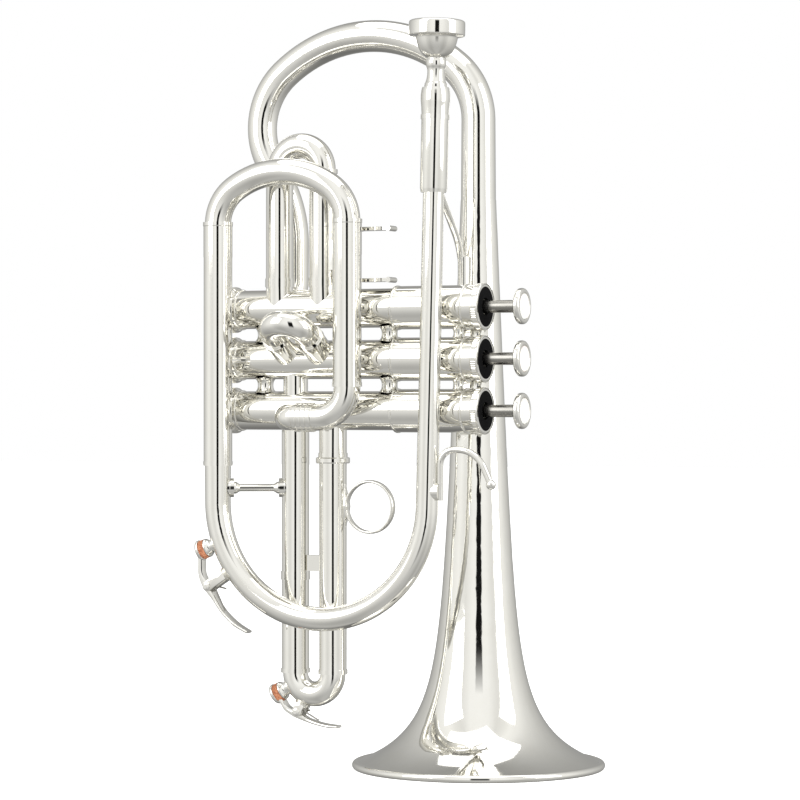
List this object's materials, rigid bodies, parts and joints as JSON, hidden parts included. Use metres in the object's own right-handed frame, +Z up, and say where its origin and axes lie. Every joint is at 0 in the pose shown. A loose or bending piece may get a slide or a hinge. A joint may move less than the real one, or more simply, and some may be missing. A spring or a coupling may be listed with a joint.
{
  "type": "cornet",
  "caption": "Silver-plated cornet with a shepherd's crook, piston valves, tuning slides, finger hooks and water keys, standing on its bell.",
  "frame": {"origin": "centre of the bell rim, on the plane that the bell stands on", "axes": "+Z up the bell axis, +X along the valves to the finger buttons, -Y to the leadpipe side"},
  "size_m": [0.1861, 0.12, 0.3544],
  "materials": {
    "silver_plate": "mirror-polished silver plate",
    "piston_metal": "ground nickel alloy",
    "spring_steel": "bright wire",
    "pearl": "mother-of-pearl",
    "felt": "pressed black felt",
    "cork": "natural cork"
  },
  "bodies": {
    "root": {"bell": "silver_plate", "bell_rim_wire": "silver_plate", "bell_stay": "silver_plate", "bottom_caps": "silver_plate", "braces": "silver_plate", "cap_felts": "felt", "casing_posts": "silver_plate", "elbow_ferrule": "silver_plate", "first_slide_inner_tubes": "silver_plate", "first_valve_branch": "silver_plate", "leadpipe": "silver_plate", "main_bow": "silver_plate", "mouthpiece_receiver": "silver_plate", "pinky_hook": "silver_plate", "second_slide_sleeves": "silver_plate", "shepherds_crook": "silver_plate", "third_slide_fixed_tubes": "silver_plate", "third_valve_elbow": "silver_plate", "third_valve_knuckle": "silver_plate", "top_caps": "silver_plate", "tuning_sleeves": "silver_plate", "valve_casing_1": "silver_plate", "valve_casing_2": "silver_plate", "valve_casing_3": "silver_plate", "valve_guides": "silver_plate", "valve_knuckles": "silver_plate", "valve_spring_1": "spring_steel", "valve_spring_2": "spring_steel", "valve_spring_3": "spring_steel", "water_key_pin_bow": "silver_plate", "water_key_saddle_bow": "silver_plate"},
    "tuning_slide": {"tuning_slide_legs": "silver_plate", "tuning_slide_crook": "silver_plate"},
    "first_slide": {"first_slide_tubes": "silver_plate", "first_slide_crook": "silver_plate", "thumb_saddle": "silver_plate"},
    "second_slide": {"second_slide_crook": "silver_plate"},
    "third_slide": {"third_slide_tubes": "silver_plate", "third_slide_crook": "silver_plate", "finger_ring": "silver_plate", "slide_lug": "silver_plate", "water_key_saddle_third": "silver_plate", "water_key_pin_third": "silver_plate"},
    "water_key_main": {"water_key_lever_bow": "silver_plate", "water_key_cork_bow": "cork"},
    "water_key_third": {"water_key_lever_third": "silver_plate", "water_key_cork_third": "cork"},
    "mouthpiece": {"mouthpiece": "silver_plate"},
    "valve_1": {"piston_1": "piston_metal", "valve_stem_1": "silver_plate", "finger_button_1": "silver_plate", "button_pearl_1": "pearl"},
    "valve_2": {"piston_2": "piston_metal", "valve_stem_2": "silver_plate", "finger_button_2": "silver_plate", "button_pearl_2": "pearl"},
    "valve_3": {"piston_3": "piston_metal", "valve_stem_3": "silver_plate", "finger_button_3": "silver_plate", "button_pearl_3": "pearl"}
  },
  "joints": [
    {"name": "valve_1_press", "type": "slide", "parent": "root", "child": "valve_1", "axis": [-1, 0, 0], "range_m": [0, 0.016], "stiffness_N_per_m": 120, "springref_m": -0.012, "deforming": ["valve_spring_1"]},
    {"name": "valve_2_press", "type": "slide", "parent": "root", "child": "valve_2", "axis": [-1, 0, 0], "range_m": [0, 0.016], "stiffness_N_per_m": 120, "springref_m": -0.012, "deforming": ["valve_spring_2"]},
    {"name": "valve_3_press", "type": "slide", "parent": "root", "child": "valve_3", "axis": [-1, 0, 0], "range_m": [0, 0.016], "stiffness_N_per_m": 120, "springref_m": -0.012, "deforming": ["valve_spring_3"]},
    {"name": "tuning_slide_draw", "type": "slide", "parent": "root", "child": "tuning_slide", "axis": [0, 0, 1], "range_m": [0, 0.03]},
    {"name": "first_slide_draw", "type": "slide", "parent": "root", "child": "first_slide", "axis": [0, 0, 1], "range_m": [0, 0.02]},
    {"name": "second_slide_draw", "type": "slide", "parent": "root", "child": "second_slide", "axis": [0, -0.866, 0.5], "range_m": [0, 0.007]},
    {"name": "third_slide_draw", "type": "slide", "parent": "root", "child": "third_slide", "axis": [0, 0, -1], "range_m": [0, 0.022]},
    {"name": "water_key_main_turn", "type": "hinge", "parent": "root", "child": "water_key_main", "pos_m": [-0.119, -0.044, 0.085], "axis": [0, -1, 0], "range_deg": [0, 12], "stiffness_Nm_per_rad": 0.05, "springref_deg": -22.92},
    {"name": "water_key_third_turn", "type": "hinge", "parent": "third_slide", "child": "water_key_third", "pos_m": [-0.0807, -0.026, 0.0258], "axis": [0, -1, 0], "range_deg": [0, 12], "stiffness_Nm_per_rad": 0.05, "springref_deg": -22.92},
    {"name": "mouthpiece_pull", "type": "slide", "parent": "root", "child": "mouthpiece", "axis": [0.0234, 0, 0.9997], "range_m": [0, 0.02]}
  ]
}
